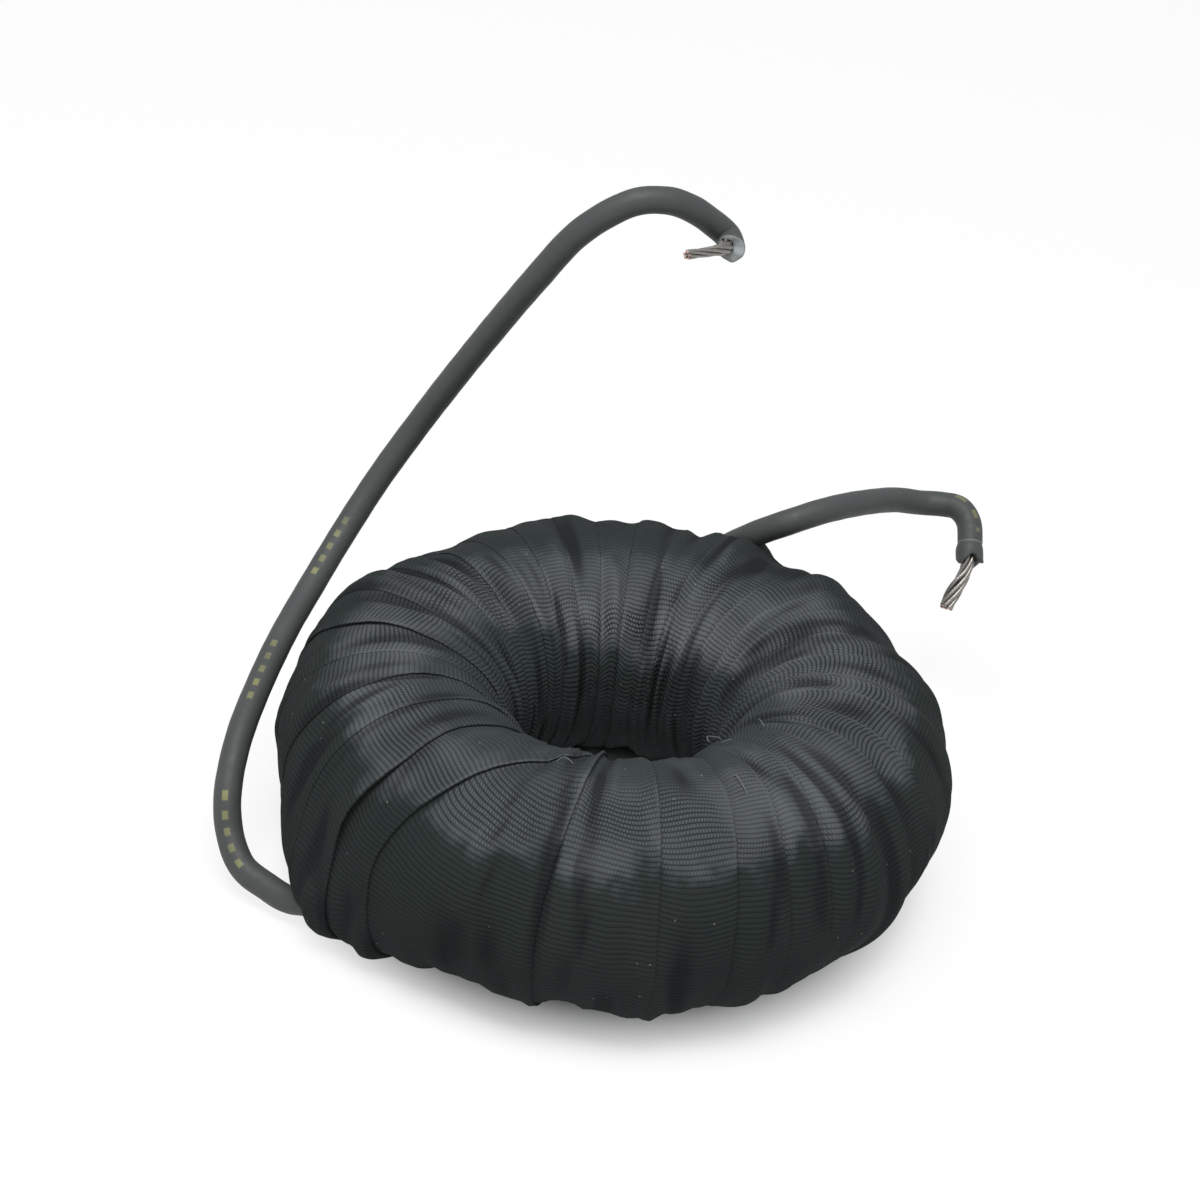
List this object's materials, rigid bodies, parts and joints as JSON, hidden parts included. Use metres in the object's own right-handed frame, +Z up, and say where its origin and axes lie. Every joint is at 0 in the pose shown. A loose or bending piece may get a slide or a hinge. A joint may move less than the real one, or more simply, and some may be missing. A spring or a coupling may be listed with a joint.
{
  "type": "toroidal inductor",
  "caption": "Wire-wound ring inductor wrapped in overlapping turns of black woven tape, with insulated stranded leads stripped at their free ends, for smoothing current in a power circuit.",
  "frame": {"origin": "on the ring's axis, at the surface that the ring stands on", "axes": "+Z up along the ring's axis, -Y to the side that faces the viewer in the picture, +X to the viewer's right"},
  "size_m": [0.0863, 0.0826, 0.0716],
  "materials": {
    "core": "pressed iron powder, dull",
    "core_wrap": "varnished glass-cloth wrap",
    "magnet_wire": "enamelled copper wire",
    "woven_tape": "black woven tape with a fine cross rib",
    "sleeve": "soldered joint under a pale sleeve",
    "lead_jacket": "satin black soft plastic jacket",
    "tinned_strands": "tinned copper strands"
  },
  "bodies": {
    "root": {"core": "core", "core_wrap": "core_wrap", "winding": "magnet_wire", "outer_tape": "woven_tape", "left_joint": "sleeve", "left_lead": "lead_jacket", "left_strands": "tinned_strands", "right_joint": "sleeve", "right_lead": "lead_jacket", "right_strands": "tinned_strands"}
  },
  "joints": []
}
